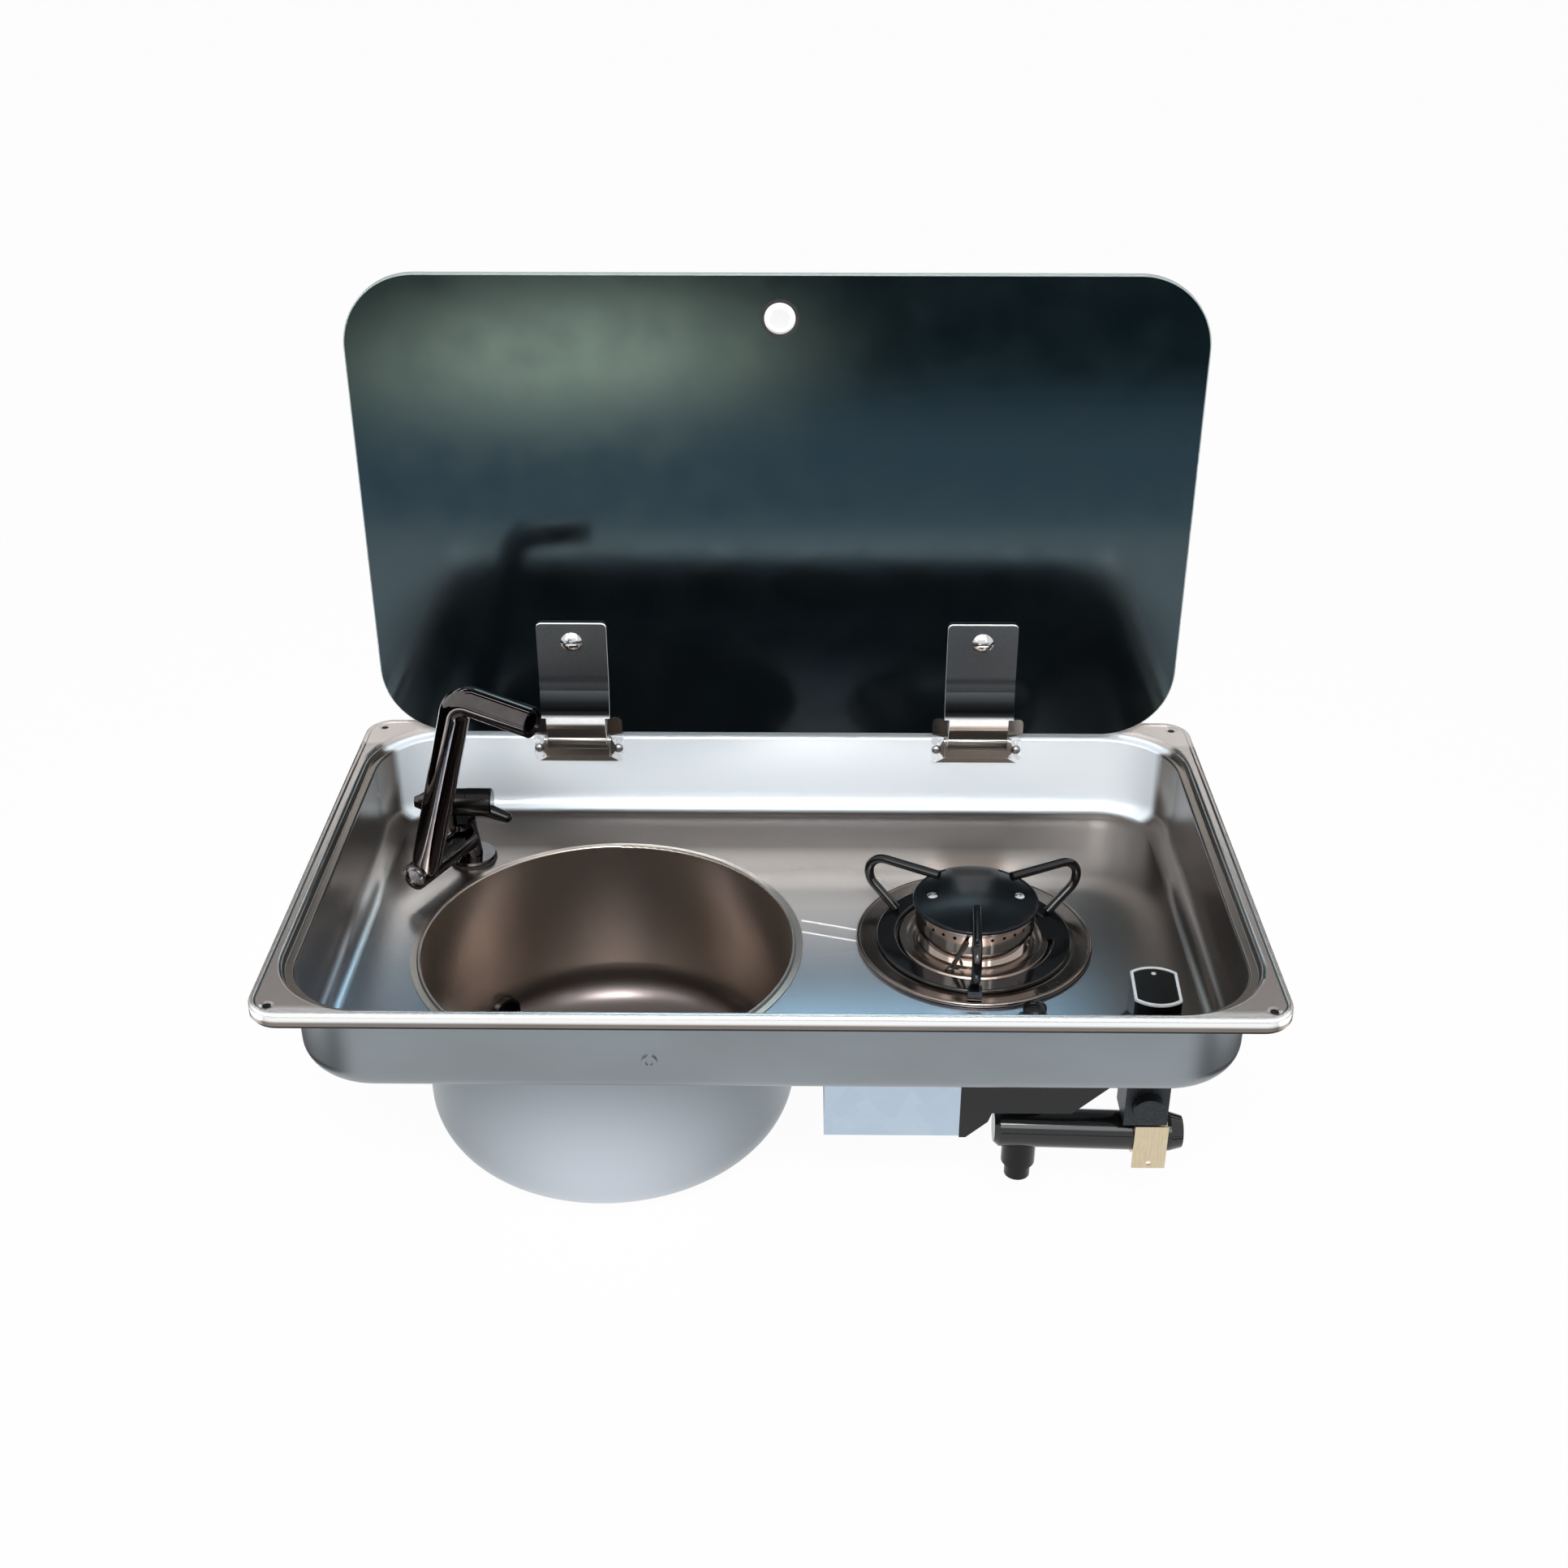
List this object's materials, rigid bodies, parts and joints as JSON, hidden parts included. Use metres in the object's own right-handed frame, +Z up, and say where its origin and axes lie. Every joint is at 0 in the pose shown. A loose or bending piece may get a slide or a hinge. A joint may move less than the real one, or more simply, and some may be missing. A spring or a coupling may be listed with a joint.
{
  "type": "hob and sink combination with a glass lid",
  "caption": "Inset steel tray with a round sink bowl, a single gas burner with pan support, a folding tap and a hinged glass lid.",
  "frame": {"origin": "centre of the four rim screw holes, in the plane of the rim's top face", "axes": "+X to the right along the rim, +Y to the rear where the lid is hinged, +Z up out of the worktop"},
  "size_m": [0.53, 0.3301, 0.4685],
  "materials": {
    "stainless": "brushed to satin",
    "bright_steel": "polished",
    "spring_steel": "bright drawn wire",
    "black_glass": "black backed toughened glass, polished",
    "rubber": "matt black",
    "knob_white": "satin white",
    "chrome": "polished",
    "crown_metal": "machined bright",
    "enamel_black": "black enamel",
    "brass": "machined",
    "copper": "copper, bright drawn",
    "electrode_ceramic": "dark glazed ceramic with a steel wire",
    "valve_metal": "dark cast alloy",
    "spindle_steel": "turned",
    "plastic_black": "satin black",
    "trim_silver": "light grey",
    "painted_black": "gloss black",
    "gold_zinc": "yellow passivated zinc"
  },
  "bodies": {
    "hob_and_sink": {"tray": "stainless", "rim_seal": "rubber", "bowl": "stainless", "waste_spigot": "plastic_black", "front_wall_rivet": "bright_steel", "hinge_bracket_left": "bright_steel", "hinge_bracket_right": "bright_steel", "hinge_pin_left": "spring_steel", "hinge_pin_right": "spring_steel", "bracket_rivets": "bright_steel", "burner_dish": "stainless", "burner_base": "crown_metal", "burner_crown": "crown_metal", "burner_cap": "enamel_black", "cap_rivets": "bright_steel", "pan_support": "enamel_black", "ignition_electrode": "electrode_ceramic", "thermocouple": "copper", "injector": "brass", "burner_feed_pipe": "copper", "gas_valve_body": "valve_metal", "valve_spring": "spring_steel", "knob_bezel": "plastic_black", "gas_rail": "painted_black", "gas_hose_tail": "painted_black", "pipe_clip": "gold_zinc", "valve_bracket": "painted_black", "heat_shield_box": "stainless", "igniter_body": "plastic_black", "igniter_nut": "plastic_black", "igniter_spring": "spring_steel", "tap_base_seal": "rubber", "tap_body": "chrome", "tap_gland": "plastic_black", "tap_cap": "chrome", "swivel_screw": "spring_steel", "tap_nut": "brass", "tap_washer": "rubber", "tap_tail": "brass"},
    "lid": {"lid_glass": "black_glass", "lid_knob": "knob_white", "lid_knob_cap": "knob_white", "lid_knob_washers": "rubber", "hinge_strap_left": "stainless", "hinge_strap_right": "stainless", "strap_screws": "bright_steel", "strap_cap_nuts": "bright_steel", "clamp_plates": "stainless"},
    "spout_arm": {"swivel_sleeve": "chrome", "spout": "chrome", "outlet_nozzle": "plastic_black"},
    "tap_lever": {"tap_handle": "plastic_black", "tap_spindle": "brass"},
    "valve_push": {"valve_plunger": "brass"},
    "knob": {"gas_knob": "plastic_black", "knob_trim": "trim_silver", "valve_spindle": "spindle_steel"},
    "ignition_button": {"igniter_button": "plastic_black"}
  },
  "joints": [
    {"name": "lid_hinge", "type": "hinge", "parent": "hob_and_sink", "child": "lid", "pos_m": [0, 0.1455, -0.005], "axis": [1, 0, 0], "range_deg": [0, 90]},
    {"name": "spout_fold", "type": "hinge", "parent": "hob_and_sink", "child": "spout_arm", "pos_m": [-0.19078, 0.08511, -0.04], "axis": [0.454, 0.891, 0], "range_deg": [0, 73]},
    {"name": "tap_turn", "type": "hinge", "parent": "hob_and_sink", "child": "tap_lever", "pos_m": [-0.19078, 0.08511, -0.017], "axis": [1, 0, 0], "range_deg": [0, 90]},
    {"name": "knob_press", "type": "slide", "parent": "hob_and_sink", "child": "valve_push", "axis": [0, 0, -1], "range_m": [0, 0.0035], "stiffness_N_per_m": 1500, "springref_m": -0.002, "deforming": ["valve_spring"]},
    {"name": "knob_turn", "type": "hinge", "parent": "valve_push", "child": "knob", "pos_m": [0.2055, -0.099, -0.05], "axis": [0, 0, 1], "range_deg": [0, 180]},
    {"name": "igniter_press", "type": "slide", "parent": "hob_and_sink", "child": "ignition_button", "axis": [0, 0, -1], "range_m": [0, 0.003], "stiffness_N_per_m": 800, "springref_m": -0.002, "deforming": ["igniter_spring"]}
  ],
  "couplings": [
    {"joint": "spout_fold", "follows": "lid_hinge", "ratio": 0.81111}
  ]
}
